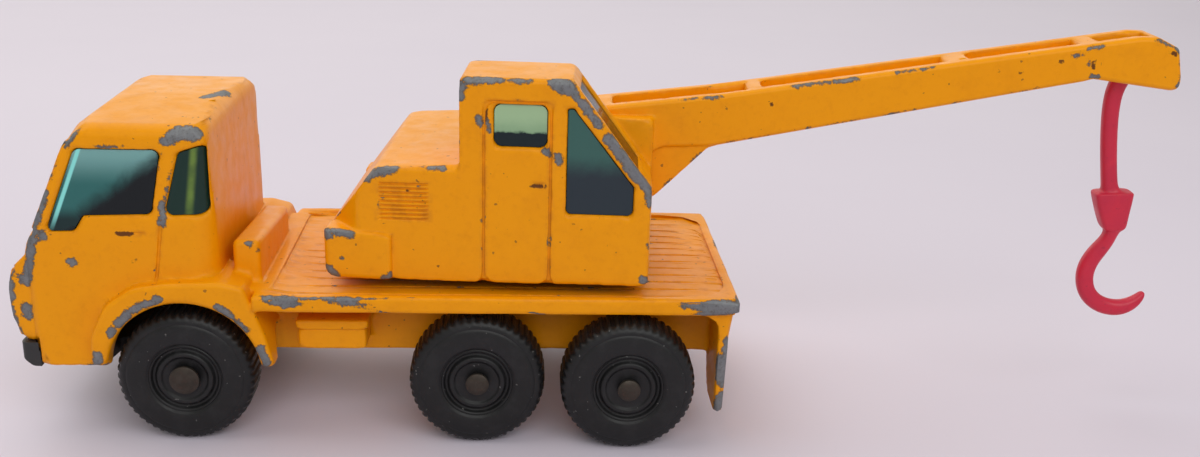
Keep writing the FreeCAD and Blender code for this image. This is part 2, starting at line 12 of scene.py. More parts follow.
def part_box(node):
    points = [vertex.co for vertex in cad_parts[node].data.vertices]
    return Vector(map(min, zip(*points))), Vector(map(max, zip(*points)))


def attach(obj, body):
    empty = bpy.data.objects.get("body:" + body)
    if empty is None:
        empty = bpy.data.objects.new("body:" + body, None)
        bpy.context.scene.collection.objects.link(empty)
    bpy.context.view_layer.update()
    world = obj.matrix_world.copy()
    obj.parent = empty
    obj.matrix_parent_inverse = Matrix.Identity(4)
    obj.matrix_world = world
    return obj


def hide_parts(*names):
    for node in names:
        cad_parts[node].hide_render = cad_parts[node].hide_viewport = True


MM = 0.001
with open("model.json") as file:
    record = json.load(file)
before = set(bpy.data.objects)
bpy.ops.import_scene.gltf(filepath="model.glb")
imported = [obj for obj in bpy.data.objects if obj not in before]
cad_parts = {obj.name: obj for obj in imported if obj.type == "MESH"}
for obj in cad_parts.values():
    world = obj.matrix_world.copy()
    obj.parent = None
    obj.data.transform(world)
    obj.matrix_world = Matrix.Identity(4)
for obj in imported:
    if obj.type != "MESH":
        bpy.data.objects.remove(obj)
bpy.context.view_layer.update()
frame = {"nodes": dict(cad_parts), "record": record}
record = frame["record"]
joints = {j["name"]: j for j in record["behaviour"]["joints"]}


def middle(node):
    low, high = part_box(node)
    return (Vector(low) + Vector(high)) / 2


# The truck's own X has its zero at the front end of the deck, in front of the middle axle; the crane's
# lies on the slew axis. Both are in millimetres.
MID_AXLE_X = 20.79
TRUCK_ZERO = middle("axle_mid").x / MM - MID_AXLE_X
SLEW = Vector(joints["crane_slew"]["pos_m"])
PIN = Vector(joints["hook_swing"]["pos_m"])
BOOM_YAW = math.atan2((PIN - SLEW).y, (PIN - SLEW).x)


def truck(x, y, z):
    """A point of the truck, from its own frame in millimetres."""
    return Vector((x + TRUCK_ZERO, y, z)) * MM


def crane(x, y, z):
    """A point of the crane, from its own frame in millimetres."""
    c, s = math.cos(BOOM_YAW), math.sin(BOOM_YAW)
    return Vector((SLEW.x / MM + x * c - y * s, SLEW.y / MM + x * s + y * c, z)) * MM


def srgb(red, green, blue):
    """A linear colour from 0-255 screen values."""
    def linear(v):
        v /= 255
        return v / 12.92 if v <= 0.04045 else ((v + 0.055) / 1.055) ** 2.4
    return (linear(red), linear(green), linear(blue), 1.0)


# ---------------------------------------------------------------- node helpers

class Nodes:
    """A material's node tree, with short ways to add nodes."""

    def __init__(self, name):
        self.material = bpy.data.materials.new(name)
        self.material.use_nodes = True
        self.tree = self.material.node_tree
        self.shader = self.tree.nodes["Principled BSDF"]
        self.place = self.add("ShaderNodeTexCoord").outputs["Object"]

    def add(self, kind, **settings):
        node = self.tree.nodes.new(kind)
        for key, value in settings.items():
            setattr(node, key, value)
        return node

    def put(self, socket, value):
        if isinstance(value, bpy.types.NodeSocket):
            self.tree.links.new(value, socket)
        else:
            socket.default_value = value

    def math(self, operation, a, b=None):
        node = self.add("ShaderNodeMath", operation=operation)
        self.put(node.inputs[0], a)
        if b is not None:
            self.put(node.inputs[1], b)
        return node.outputs[0]

    def noise(self, per_mm, detail=3.0, roughness=0.5, distortion=0.0):
        """Noise around 0.5, with about per_mm features in a millimetre."""
        node = self.add("ShaderNodeTexNoise")
        self.put(node.inputs["Vector"], self.place)
        node.inputs["Scale"].default_value = per_mm / MM
        node.inputs["Detail"].default_value = detail
        node.inputs["Roughness"].default_value = roughness
        node.inputs["Distortion"].default_value = distortion
        return node.outputs["Fac"]

    def attribute(self, name):
        return self.add("ShaderNodeAttribute", attribute_name=name).outputs["Fac"]

    def ramp(self, value, low, high, out_low=0.0, out_high=1.0):
        node = self.add("ShaderNodeMapRange", interpolation_type="SMOOTHSTEP")
        self.put(node.inputs["Value"], value)
        limits = (("From Min", low), ("From Max", high), ("To Min", out_low), ("To Max", out_high))
        for key, number in limits:
            node.inputs[key].default_value = number
        return node.outputs["Result"]

    def mix(self, fac, a, b):
        node = self.add("ShaderNodeMix", data_type="RGBA")
        self.put(node.inputs[0], fac)
        self.put(node.inputs[6], a)
        self.put(node.inputs[7], b)
        return node.outputs[2]

    def bump(self, height, distance, strength=1.0, normal=None):
        node = self.add("ShaderNodeBump")
        self.put(node.inputs["Height"], height)
        node.inputs["Distance"].default_value = distance * MM
        node.inputs["Strength"].default_value = strength
        if normal is not None:
            self.put(node.inputs["Normal"], normal)
        return node.outputs["Normal"]

    def finish(self, **sockets):
        for key, value in sockets.items():
            self.put(self.shader.inputs[key.replace("_", " ")], value)
        return self.material


# ---------------------------------------------------------------- materials

def enamel():
    """Yellow-orange enamel over zinc: bare where the wear attribute says, with a dark rim of primer and
    painted shade round each chip, and darker in the grooves from grime and painted shade.
    """
    n = Nodes("yellow_enamel")
    wear = n.attribute("wear")
    rough = n.math("SUBTRACT", n.noise(1.5, 5.0, 0.62), 0.5)
    fine = n.math("SUBTRACT", n.noise(5.0, 3.0, 0.6), 0.5)
    field = n.math("ADD", n.math("ADD", wear, rough), n.math("MULTIPLY", fine, 0.35))
    # thin rubbing along the outer edges, only here and there
    edge = n.attribute("edge")
    rub = n.math("SUBTRACT", n.noise(0.42, 4.0, 0.65), 0.60)
    rub = n.math("SUBTRACT", n.math("MULTIPLY", rub, 3.2), n.math("MULTIPLY", edge, 1.7))
    rub = n.math("ADD", rub, n.math("MULTIPLY", fine, 0.4))
    field = n.math("MAXIMUM", field, rub)
    bare = n.ramp(field, -0.03, 0.05)
    # a dark ring round each chip: primer, and painted shade from the paint's raised edge
    primer_and_shade_rim = n.math("SUBTRACT", n.ramp(field, -0.13, 0.0), n.ramp(field, 0.03, 0.2))

    paint = n.mix(n.noise(0.05, 3.0), srgb(242, 158, 3), srgb(238, 151, 2))
    paint = n.mix(n.ramp(n.noise(0.3, 5.0, 0.7), 0.45, 0.75, 0.0, 0.3), paint, srgb(218, 133, 4))
    paint = n.mix(n.ramp(n.noise(1.3, 4.0, 0.7), 0.5, 0.75, 0.0, 0.2), paint, srgb(208, 120, 8))
    # paint worn thin along the edges, where it looks paler or browner
    thin = n.math("MULTIPLY", n.ramp(edge, 0.45, 0.0), n.ramp(n.noise(0.8, 4.0, 0.6), 0.42, 0.6, 0.0, 0.35))
    paint = n.mix(thin, paint, srgb(196, 112, 30))
    # darker along every concave edge and groove: grime, and painted shade in the creases
    groove = n.attribute("groove")
    grime_and_painted_shade = n.math("MULTIPLY", n.ramp(groove, 0.3, 0.0), n.ramp(n.noise(0.6, 4.0), 0.4, 0.7, 0.0, 0.4))
    paint = n.mix(grime_and_painted_shade, paint, srgb(160, 94, 16))
    speck = n.ramp(n.noise(1.7, 1.0, 0.5), 0.755, 0.78)
    paint = n.mix(n.math("MULTIPLY", speck, 0.65), paint, srgb(104, 70, 36))
    mark = n.ramp(n.math("ADD", n.attribute("mark"), n.math("MULTIPLY", fine, 0.3)), -0.06, 0.06)
    paint = n.mix(n.math("MULTIPLY", mark, 0.9), paint, srgb(70, 34, 22))
    zinc = n.mix(n.noise(1.1, 5.0, 0.7), srgb(96, 100, 104), srgb(146, 146, 148))
    zinc = n.mix(n.ramp(n.noise(3.2, 3.0, 0.7), 0.5, 0.7, 0.0, 0.5), zinc, srgb(84, 78, 74))
    colour = n.mix(bare, paint, zinc)
    colour = n.mix(n.math("MULTIPLY", primer_and_shade_rim, 0.5), colour, srgb(92, 74, 46))

    height = n.math("MULTIPLY", bare, -1.0)
    normal = n.bump(height, 0.05)
    waves, pits = n.math("MULTIPLY", n.noise(0.45, 2.0), 0.7), n.math("MULTIPLY", n.noise(2.0, 3.0), 0.3)
    ripple = n.math("ADD", waves, pits)
    normal = n.bump(ripple, 0.08, 0.45, normal)
    grit = n.math("MULTIPLY", n.noise(6.0, 4.0, 0.7), bare)
    normal = n.bump(grit, 0.02, 0.6, normal)
    dull = n.ramp(n.noise(0.5, 4.0, 0.6), 0.3, 0.7, 0.30, 0.44)
    dull = n.math("ADD", dull, n.math("MULTIPLY", bare, 0.16))
    dull = n.math("ADD", dull, n.math("MULTIPLY", grime_and_painted_shade, 0.25))
    metal = n.math("MULTIPLY", bare, 0.45)
    n.shader.inputs["IOR"].default_value = 1.26
    return n.finish(Base_Color=colour, Roughness=dull, Metallic=metal, Normal=normal)


def charcoal():
    """Moulded wheel plastic: dark, slightly dusty, scuffed on the tread."""
    n = Nodes("wheel_plastic")
    dust = n.ramp(n.noise(0.5, 5.0, 0.68), 0.45, 0.75, 0.0, 0.7)
    colour = n.mix(dust, srgb(21, 21, 22), srgb(40, 39, 41))
    speck = n.ramp(n.noise(2.2, 2.0, 0.5), 0.71, 0.75)
    colour = n.mix(n.math("MULTIPLY", speck, 0.55), colour, srgb(132, 130, 128))
    grain = n.noise(5.5, 4.0, 0.65)
    scratch = n.add("ShaderNodeTexNoise")
    stretch = n.add("ShaderNodeMapping")
    n.put(stretch.inputs["Vector"], n.place)
    stretch.inputs["Scale"].default_value = (2600, 300, 1800)
    n.put(scratch.inputs["Vector"], stretch.outputs["Vector"])
    scratch.inputs["Scale"].default_value = 1.0
    scratch.inputs["Detail"].default_value = 4.0
    normal = n.bump(grain, 0.03, 0.5)
    normal = n.bump(scratch.outputs["Fac"], 0.03, 0.4, normal)
    n.shader.inputs["IOR"].default_value = 1.4
    return n.finish(Base_Color=colour, Roughness=n.ramp(dust, 0.0, 0.7, 0.42, 0.62), Normal=normal)


def black_moulding():
    """The base plate's dull black."""
    n = Nodes("black_plastic")
    cloud = n.noise(0.5, 4.0, 0.6)
    colour = n.mix(cloud, srgb(26, 27, 27), srgb(46, 46, 45))
    dull = n.ramp(cloud, 0.3, 0.7, 0.36, 0.52)
    return n.finish(Base_Color=colour, Roughness=dull, Normal=n.bump(n.noise(4.0, 4.0, 0.6), 0.03, 0.5))


def tarnished_steel():
    """Dark steel with brown rust, on the axles and the rivets."""
    n = Nodes("plain_steel")
    cloud = n.noise(1.3, 5.0, 0.65)
    colour = n.mix(cloud, srgb(84, 76, 68), srgb(40, 36, 33))
    rust = n.ramp(n.noise(2.6, 4.0, 0.7), 0.52, 0.68, 0.0, 0.6)
    colour = n.mix(rust, colour, srgb(66, 44, 34))
    metal = n.math("SUBTRACT", 0.75, n.math("MULTIPLY", rust, 0.6))
    dull = n.ramp(cloud, 0.3, 0.7, 0.38, 0.58)
    return n.finish(Base_Color=colour, Metallic=metal, Roughness=dull, Normal=n.bump(cloud, 0.05, 0.5))


def crimson():
    """Slightly translucent red moulding with flow marks."""
    n = Nodes("red_plastic")
    flow = n.noise(0.35, 3.0, 0.6, distortion=0.8)
    colour = n.mix(flow, srgb(214, 30, 58), srgb(184, 22, 62))
    speck = n.ramp(n.noise(2.6, 2.0), 0.68, 0.72)
    colour = n.mix(n.math("MULTIPLY", speck, 0.5), colour, srgb(150, 24, 50))
    n.shader.inputs["Subsurface Weight"].default_value = 0.2
    n.shader.inputs["Subsurface Radius"].default_value = (0.9, 0.15, 0.1)
    n.shader.inputs["Subsurface Scale"].default_value = 0.6 * MM
    dull = n.ramp(flow, 0.3, 0.7, 0.34, 0.48)
    return n.finish(Base_Color=colour, Roughness=dull, Normal=n.bump(n.noise(3.5, 3.0, 0.6), 0.025, 0.5))


def tinted(name, look, gloss):
    """Blue-green clear plastic; look gives its colour, with painted light and shade, from the nodes and the
    place in millimetres.
    """
    n = Nodes(name)
    split = n.add("ShaderNodeSeparateXYZ")
    n.put(split.inputs[0], n.place)
    x, y, z = (n.math("DIVIDE", split.outputs[i], MM) for i in range(3))
    colour = look(n, x, y, z)
    smear = n.ramp(n.noise(0.9, 5.0, 0.7, distortion=0.5), 0.35, 0.75, 0.05, 0.2)
    n.shader.inputs["Transmission Weight"].default_value = 0.15
    n.shader.inputs["Specular IOR Level"].default_value = gloss
    return n.finish(Base_Color=colour, Roughness=smear, Normal=n.bump(n.noise(0.3, 2.0), 0.05, 0.4))


def floor_sheet():
    """Plain pale paper."""
    n = Nodes("floor")
    cloud = n.noise(0.01, 4.0, 0.6)
    colour = n.mix(cloud, srgb(222, 213, 226), srgb(214, 205, 220))
    grain = n.noise(1.5, 3.0, 0.6)
    return n.finish(Base_Color=colour, Roughness=0.62, Normal=n.bump(grain, 0.02, 0.3))


# ---------------------------------------------------------------- worn castings

CLOSE_VERTICES = 0.06               # mm; nearer ones are merged first
SHORTEST_SPLIT, LONGEST_EDGE = 0.48, 2.0
FINEST_EDGE, COARSENING = 0.46, 1.1     # wanted edge length at a detail, and its growth per mm away from it
ENOUGH_FACES = 150000
EDGE_SOFTNESS, CORNER_SOFTNESS = 0.42, 0.2      # mm from an outer edge, and from any edge
SOFTENING_ROUNDS = 6
PLANK_TOP, JOINT_DEPTH = 15.15, 0.2     # the deck floor's height, and the depth of its joints
DECK_LENGTH, FLOOR_HALF_WIDTH = 46, 13.6


def capsule(points, start, end, radius):
    """How far inside a capsule each point is, in millimetres, from below zero outside."""
    start, end = np.array(start), np.array(end)
    along = end - start
    length = max(float(along @ along), 1e-12)
    t = np.clip(((points - start) @ along) / length, 0, 1)
    gap = np.linalg.norm(points - (start + t[:, None] * along), axis=1)
    return (radius * MM - gap) / MM


def sharp_samples(bm, tree, lowest_angle=0.42, spacing=0.2):
    """Points along the convex and the concave sharp edges that face outwards, spaced in millimetres."""
    convex, concave = [], []
    for edge in bm.edges:
        if len(edge.link_faces) != 2:
            continue
        angle = edge.calc_face_angle_signed(0.0)
        if abs(angle) < lowest_angle:
            continue
        a, b = edge.verts[0].co, edge.verts[1].co
        out = (edge.link_faces[0].normal + edge.link_faces[1].normal)
        if out.length < 1e-6:
            continue
        out.normalize()
        # an edge with a wall in front of it lies inside a hollow
        reach = 7 if angle > 0 else 40
        hit = tree.ray_cast((a + b) / 2 + out * 0.05 * MM, out, reach * MM)
        if hit[0] is not None:
            continue
        steps = max(1, int((b - a).length / (spacing * MM)))
        bucket = convex if angle > 0 else concave
        bucket.extend(a.lerp(b, i / steps) for i in range(steps + 1))
    return convex, concave


def kd(points):
    """A search tree for the nearest of some points."""
    tree = KDTree(len(points))
    for i, p in enumerate(points):
        tree.insert(p, i)
    tree.balance()
    return tree


def inside_any(points, capsules):
    """How far inside the nearest capsule each point is, in millimetres, within limits."""
    depth = np.full(len(points), -2.0)
    for start, end, radius in capsules:
        depth = np.maximum(depth, capsule(points, start, end, radius))
    return np.clip(depth, -1.5, 1.0)


def fill_plank_joints(bm):
    """Enamel fills more than half of each joint between the deck's planks."""
    for v in bm.verts:
        along = truck(0, 0, 0).x < v.co.x < truck(DECK_LENGTH, 0, 0).x
        across = abs(v.co.y) < FLOOR_HALF_WIDTH * MM
        below = PLANK_TOP * MM - v.co.z
        if along and across and 0 < below < JOINT_DEPTH * MM + 1e-5:
            v.co.z += 0.6 * below


def refine(bm, near_detail):
    """Splits the edges, down to a short length close to a detail."""
    for _ in range(9):
        long = []
        for edge in bm.edges:
            length = edge.calc_length()
            if length < SHORTEST_SPLIT * MM:
                continue
            gap = near_detail.find((edge.verts[0].co + edge.verts[1].co) / 2)[2]
            wanted = FINEST_EDGE * MM + COARSENING * max(0.0, gap - length / 2)
            if length > min(wanted, LONGEST_EDGE * MM):
                long.append(edge)
        if not long or len(bm.faces) > ENOUGH_FACES:
            break
        bmesh.ops.subdivide_edges(bm, edges=long, cuts=1)
        bmesh.ops.triangulate(bm, faces=[f for f in bm.faces if len(f.verts) > 3])
    bmesh.ops.dissolve_degenerate(bm, edges=bm.edges, dist=0.002 * MM)
    bm.verts.ensure_lookup_table()


def soften(bm, near_convex, near_any):
    """Moves the vertices close to an edge towards their neighbours' middle, more so at the outer edges."""
    close = []
    for v in bm.verts:
        outer, any_edge = near_convex.find(v.co)[2] / MM, near_any.find(v.co)[2] / MM
        share = max(1 - outer / EDGE_SOFTNESS, 0.6 * (1 - any_edge / CORNER_SOFTNESS))
        if share > 0:
            close.append((v, 0.6 * min(1.0, 1.4 * share)))
    for _ in range(SOFTENING_ROUNDS):
        moved = []
        for v, share in close:
            ring = [e.other_vert(v).co for e in v.link_edges]
            target = sum(ring, Vector()) / len(ring)
            moved.append(v.co.lerp(target, share))
        for (v, _), co in zip(close, moved):
            v.co = co


def shade(bm, sharp_angle):
    """Smooth shading, apart from the edges sharper than the angle."""
    for face in bm.faces:
        face.smooth = True
    for edge in bm.edges:
        if len(edge.link_faces) == 2 and edge.calc_face_angle(0.0) > sharp_angle:
            edge.smooth = False


def add_piece(mesh, node, body, material):
    """Puts a mesh into the scene in a node's place, riding on its body."""
    piece = bpy.data.objects.new(mesh.name, mesh)
    bpy.context.scene.collection.objects.link(piece)
    mesh.materials.append(material)
    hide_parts(node)
    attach(piece, body)
    return piece


def worn_casting(node, body, chips, marks, material):
    """A copy of a casting with softened edges, which carries its wear in point attributes."""
    bm = bmesh.new()
    bm.from_mesh(frame["nodes"][node].data)
    bmesh.ops.remove_doubles(bm, verts=bm.verts, dist=CLOSE_VERTICES * MM)
    bmesh.ops.triangulate(bm, faces=bm.faces)
    convex, concave = sharp_samples(bm, BVHTree.FromBMesh(bm))
    near_convex, near_concave, near_any = kd(convex), kd(concave), kd(convex + concave)
    painted = [Vector(start).lerp(Vector(end), i / 8) for start, end, _ in chips + marks for i in range(9)]
    refine(bm, kd(convex + concave + painted))
    if node == "body_casting":
        fill_plank_joints(bm)
    soften(bm, near_convex, near_any)
    shade(bm, 0.95)
    mesh = bpy.data.meshes.new(node + "_painted")
    bm.to_mesh(mesh)
    bm.free()
    points = np.empty(len(mesh.vertices) * 3)
    mesh.vertices.foreach_get("co", points)
    points = points.reshape(-1, 3)
    edge_gap = np.array([min(near_convex.find(p)[2] / MM, 2.0) for p in points])
    groove_gap = np.array([min(near_concave.find(p)[2] / MM, 2.0) for p in points])
    worn = (("edge", edge_gap), ("groove", groove_gap), ("wear", inside_any(points, chips)),
            ("mark", inside_any(points, marks)))
    for name, values in worn:
        layer = mesh.attributes.new(name, "FLOAT", "POINT")
        layer.data.foreach_set("value", values.astype(np.float32))
    add_piece(mesh, node, body, material)


# Where the enamel is chipped to the zinc: two ends and a radius, in millimetres.
TRUCK_CHIPS = [
    # roof edge and roof
    ((-8.0, -11.8, 29.9), (-6.6, -11.5, 30.8), 0.55), ((-6.6, -11.5, 30.7), (-5.3, -11.4, 30.6), 0.75),
    ((-6.6, -1.6, 31.9), (-5.8, -0.3, 31.9), 0.6), ((-5.6, 0.2, 31.9), (-4.9, 1.6, 31.9), 0.6),
    ((-4.9, -3.6, 31.9), (-4.5, -6.4, 31.6), 0.2), ((-4.5, -6.4, 31.6), (-4.4, -8.8, 31.3), 0.22),
    # windscreen pillar, down to the nose
    ((-16.2, -11.7, 31.0), (-17.2, -11.9, 29.8), 0.6), ((-18.2, -12.1, 28.0), (-18.7, -12.2, 26.4), 0.3),
    ((-19.2, -12.3, 25.0), (-20.4, -12.4, 21.8), 0.42), ((-20.6, -12.4, 21.2), (-21.4, -12.2, 17.8), 0.5),
    ((-21.5, -12.2, 17.8), (-21.8, -12.1, 16.0), 0.42), ((-19.8, -12.45, 20.9), (-19.8, -12.45, 20.7), 0.5),
    # around the side windows
    ((-14.2, -12.0, 29.35), (-11.9, -12.0, 29.35), 0.16), ((-7.1, -12.2, 28.6), (-8.3, -12.4, 24.2), 0.2),
    ((-8.5, -12.45, 24.0), (-8.7, -12.45, 22.2), 0.42), ((-8.6, -12.1, 28.6), (-9.0, -12.2, 27.2), 0.2),
    # nose panel
    ((-23.3, -12.0, 17.2), (-23.6, -12.0, 16.0), 0.35), ((-23.7, -12.0, 16.0), (-23.7, -12.0, 14.4), 0.6),
    ((-23.7, -12.0, 14.2), (-23.5, -12.0, 12.1), 0.32), ((-23.4, -12.0, 12.0), (-23.0, -12.0, 10.3), 0.28),
    ((-22.3, -12.1, 16.3), (-21.4, -12.1, 16.6), 0.45), ((-22.1, -12.1, 13.5), (-22.1, -12.1, 12.6), 0.5),
    # side of the cab
    ((-17.4, -12.45, 18.2), (-17.2, -12.45, 18.2), 0.5), ((-17.5, -12.45, 7.6), (-14.5, -12.45, 7.6), 0.12),
    # lip of the wheel arch
    ((-13.1, -13.9, 12.5), (-12.1, -13.9, 13.6), 0.45), ((-12.0, -13.9, 13.8), (-9.2, -13.9, 15.1), 0.42),
    ((-13.8, -13.9, 11.5), (-13.7, -13.9, 11.8), 0.45), ((-15.3, -13.9, 9.2), (-15.3, -13.9, 8.6), 0.5),
    ((-3.7, -13.9, 14.3), (-2.5, -13.9, 13.4), 0.38), ((-2.3, -13.9, 13.2), (-1.2, -13.9, 11.9), 0.3),
    ((0.0, -13.9, 10.0), (0.5, -13.9, 8.6), 0.5),
    # edge of the deck
    ((0.3, -14.0, 15.5), (3.6, -14.0, 15.3), 0.4), ((1.9, -14.0, 14.8), (3.4, -14.0, 14.8), 0.55),
    ((6.3, -14.0, 15.3), (9.6, -14.0, 15.1), 0.4), ((8.6, -14.0, 15.0), (10.6, -14.0, 14.8), 0.42),
    ((11.9, -14.0, 14.4), (12.2, -14.0, 14.3), 0.45), ((13.2, -14.0, 15.5), (15.2, -14.0, 15.5), 0.12),
    ((26.5, -14.0, 14.1), (27.2, -14.0, 14.0), 0.42), ((25.4, -14.0, 15.45), (26.2, -14.0, 15.45), 0.14),
    ((43.3, -14.0, 14.9), (46.2, -14.0, 14.8), 0.75), ((42.4, -14.0, 14.1), (45.9, -14.0, 14.2), 0.4),
    ((46.2, -13.9, 15.4), (46.2, -12.6, 15.4), 0.35), ((40.4, -14.0, 15.0), (40.6, -14.0, 15.0), 0.25),
    # mudflap
    ((45.5, -13.2, 11.0), (45.3, -13.2, 6.4), 0.55), ((44.7, -13.2, 9.0), (44.7, -13.2, 6.9), 0.5),
    ((45.2, -13.2, 4.9), (44.8, -13.2, 3.2), 0.6),
    # humps, planks
    ((-1.4, -10.0, 19.4), (-1.2, -10.0, 19.5), 0.3), ((-0.5, -10.0, 18.8), (-0.4, -9.9, 18.8), 0.25),
    ((36.4, -7.4, 15.2), (36.5, -7.3, 15.2), 0.2),
    # the far side, the tail and the nose
    ((-6.0, 11.6, 30.7), (-8.2, 11.6, 30.6), 0.5), ((-20.0, 12.4, 22.6), (-20.9, 12.3, 20.4), 0.45),
    ((-23.7, 12.0, 13.2), (-23.6, 12.0, 11.4), 0.4), ((-13.0, 13.9, 12.9), (-11.0, 13.9, 14.7), 0.42),
    ((0.2, 13.9, 9.9), (0.6, 13.9, 8.8), 0.45), ((2.4, 14.0, 15.2), (4.6, 14.0, 15.3), 0.45),
    ((17.2, 14.0, 15.2), (19.9, 14.0, 15.3), 0.4), ((31.0, 14.0, 14.2), (31.9, 14.0, 14.2), 0.4),
    ((43.9, 14.0, 15.0), (46.2, 14.0, 14.7), 0.6), ((45.4, 13.2, 9.4), (45.3, 13.2, 5.2), 0.5),
    ((46.2, 4.2, 15.3), (46.2, 1.6, 15.3), 0.3), ((46.2, -7.2, 14.2), (46.2, -8.6, 14.1), 0.3),
    ((-23.7, -3.2, 17.0), (-23.5, 1.2, 17.2), 0.25), ((-23.9, 8.9, 15.8), (-23.9, 9.6, 15.6), 0.25),
    ((-17.5, 3.1, 29.9), (-17.3, 5.2, 30.1), 0.35),
]
CRANE_CHIPS = [
    # rear corner
    ((-16.0, -12.2, 21.4), (-13.5, -12.3, 21.0), 0.42), ((-16.0, -12.1, 20.9), (-15.6, -12.2, 20.9), 0.5),
    ((-15.9, -12.1, 17.5), (-15.0, -12.2, 16.7), 0.45), ((-10.4, -12.5, 16.6), (-9.8, -12.5, 16.9), 0.42),
    ((-14.5, -12.3, 18.6), (-14.4, -12.3, 18.6), 0.2),
    # the slope's upper edge
    ((-12.1, -11.6, 26.5), (-9.2, -11.8, 27.6), 0.5), ((-5.9, -11.8, 27.8), (-4.6, -11.8, 27.8), 0.3),
    # the operator's cab: roof edge, pillar and spots
    ((-3.0, -11.9, 35.8), (-3.0, -12.0, 34.7), 0.5), ((-2.6, -11.8, 36.2), (0.6, -11.9, 36.4), 0.38),
    ((1.6, -11.9, 36.4), (3.4, -11.9, 36.4), 0.26), ((5.8, -11.9, 36.2), (7.0, -11.9, 35.8), 0.75),
    ((7.6, -11.9, 35.2), (9.9, -11.9, 32.4), 0.42), ((10.9, -11.9, 31.1), (12.6, -11.9, 29.0), 0.55),
    ((12.8, -11.9, 28.6), (14.5, -11.9, 26.8), 0.65), ((14.8, -11.9, 26.4), (15.0, -11.9, 24.8), 0.4),
    ((-1.3, -12.0, 32.7), (-1.2, -12.0, 32.2), 0.35), ((-0.4, -12.0, 32.6), (-0.3, -12.0, 31.4), 0.18),
    ((4.9, -12.0, 29.8), (5.4, -12.0, 29.5), 0.3), ((6.2, -12.0, 29.3), (6.3, -12.0, 28.8), 0.4),
    ((14.6, -12.0, 17.2), (14.9, -12.0, 17.0), 0.4), ((2.4, -12.0, 34.5), (2.6, -12.0, 34.5), 0.12),
    ((5.5, -12.0, 21.4), (5.5, -12.0, 20.4), 0.1), ((15.0, -12.0, 20.9), (15.1, -12.0, 20.3), 0.15),
    # boom
    ((28.6, -2.9, 34.9), (35.4, -2.9, 35.8), 0.28), ((39.0, -2.8, 36.7), (43.0, -2.8, 37.3), 0.24),
    ((17.4, -3.0, 33.2), (21.9, -3.0, 33.6), 0.22), ((57.6, -2.7, 39.5), (58.9, -2.7, 39.8), 0.22),
    ((56.2, -2.7, 38.7), (57.2, -2.7, 38.9), 0.14), ((22.4, -3.0, 28.6), (27.0, -2.9, 29.6), 0.13),
    ((30.5, -2.9, 30.4), (36.0, -2.9, 31.5), 0.12), ((38.2, -2.8, 32.0), (41.5, -2.8, 32.7), 0.14),
    ((43.4, -2.8, 33.1), (46.0, -2.8, 33.7), 0.11), ((50.0, -2.8, 34.5), (53.6, -2.7, 35.3), 0.11),
    ((19.4, -2.8, 26.8), (20.2, -2.8, 27.6), 0.14), ((16.6, -2.8, 24.0), (17.4, -2.8, 24.7), 0.12),
    ((57.8, -2.7, 38.1), (57.9, -2.7, 37.9), 0.16), ((58.3, -2.7, 36.7), (58.9, -2.7, 36.7), 0.25),
    ((64.3, -2.6, 40.6), (66.5, -2.6, 39.7), 0.24), ((66.6, -2.6, 39.5), (66.9, -2.6, 38.2), 0.2),
    ((67.1, -2.6, 36.8), (67.1, -2.6, 36.0), 0.24), ((65.6, -2.6, 39.4), (65.7, -2.6, 39.4), 0.12),
    # the other side and the back
    ((-16.1, 6.2, 20.9), (-16.0, 8.6, 20.8), 0.35), ((-12.4, 11.8, 26.4), (-10.8, 11.9, 27.2), 0.4),
    ((-16.0, 12.1, 17.4), (-15.2, 12.2, 16.8), 0.4), ((1.5, 11.9, 27.9), (4.4, 11.9, 27.9), 0.3),
    ((15.0, 11.9, 24.0), (15.1, 11.9, 21.8), 0.35), ((-3.0, -4.2, 36.4), (-1.2, -4.1, 36.5), 0.35),
    ((7.4, -4.1, 36.4), (8.6, -4.1, 34.8), 0.3), ((31.0, 2.9, 35.4), (34.2, 2.9, 35.8), 0.25),
    ((48.0, 2.8, 38.2), (50.2, 2.8, 38.6), 0.22), ((65.8, 2.6, 40.0), (66.8, 2.6, 39.0), 0.3),
    ((-3.1, -7.4, 30.2), (-3.1, -7.1, 29.8), 0.3),
]

# Dark stains and pinholes, in the same form.
TRUCK_MARKS = [
    ((-12.9, -12.5, 21.1), (-11.5, -12.5, 21.1), 0.24), ((-11.7, -12.5, 18.3), (-11.3, -12.5, 18.5), 0.12),
    ((-11.2, -12.5, 15.4), (-11.1, -12.5, 15.3), 0.13), ((-4.0, -9.5, 24.4), (-4.0, -9.4, 24.5), 0.18),
    ((-1.4, -10.0, 19.3), (-1.2, -9.9, 19.4), 0.22), ((-16.5, -12.5, 22.4), (-15.4, -12.5, 22.6), 0.1),
    ((16.2, -14.0, 15.4), (17.0, -14.0, 15.4), 0.12), ((22.9, -14.0, 15.2), (23.0, -14.0, 15.2), 0.12),
    ((33.2, -14.0, 14.9), (33.3, -14.0, 14.9), 0.12), ((38.1, -14.0, 14.3), (38.3, -14.0, 14.3), 0.12),
    ((37.0, -14.0, 15.3), (37.4, -14.0, 15.3), 0.1),
]
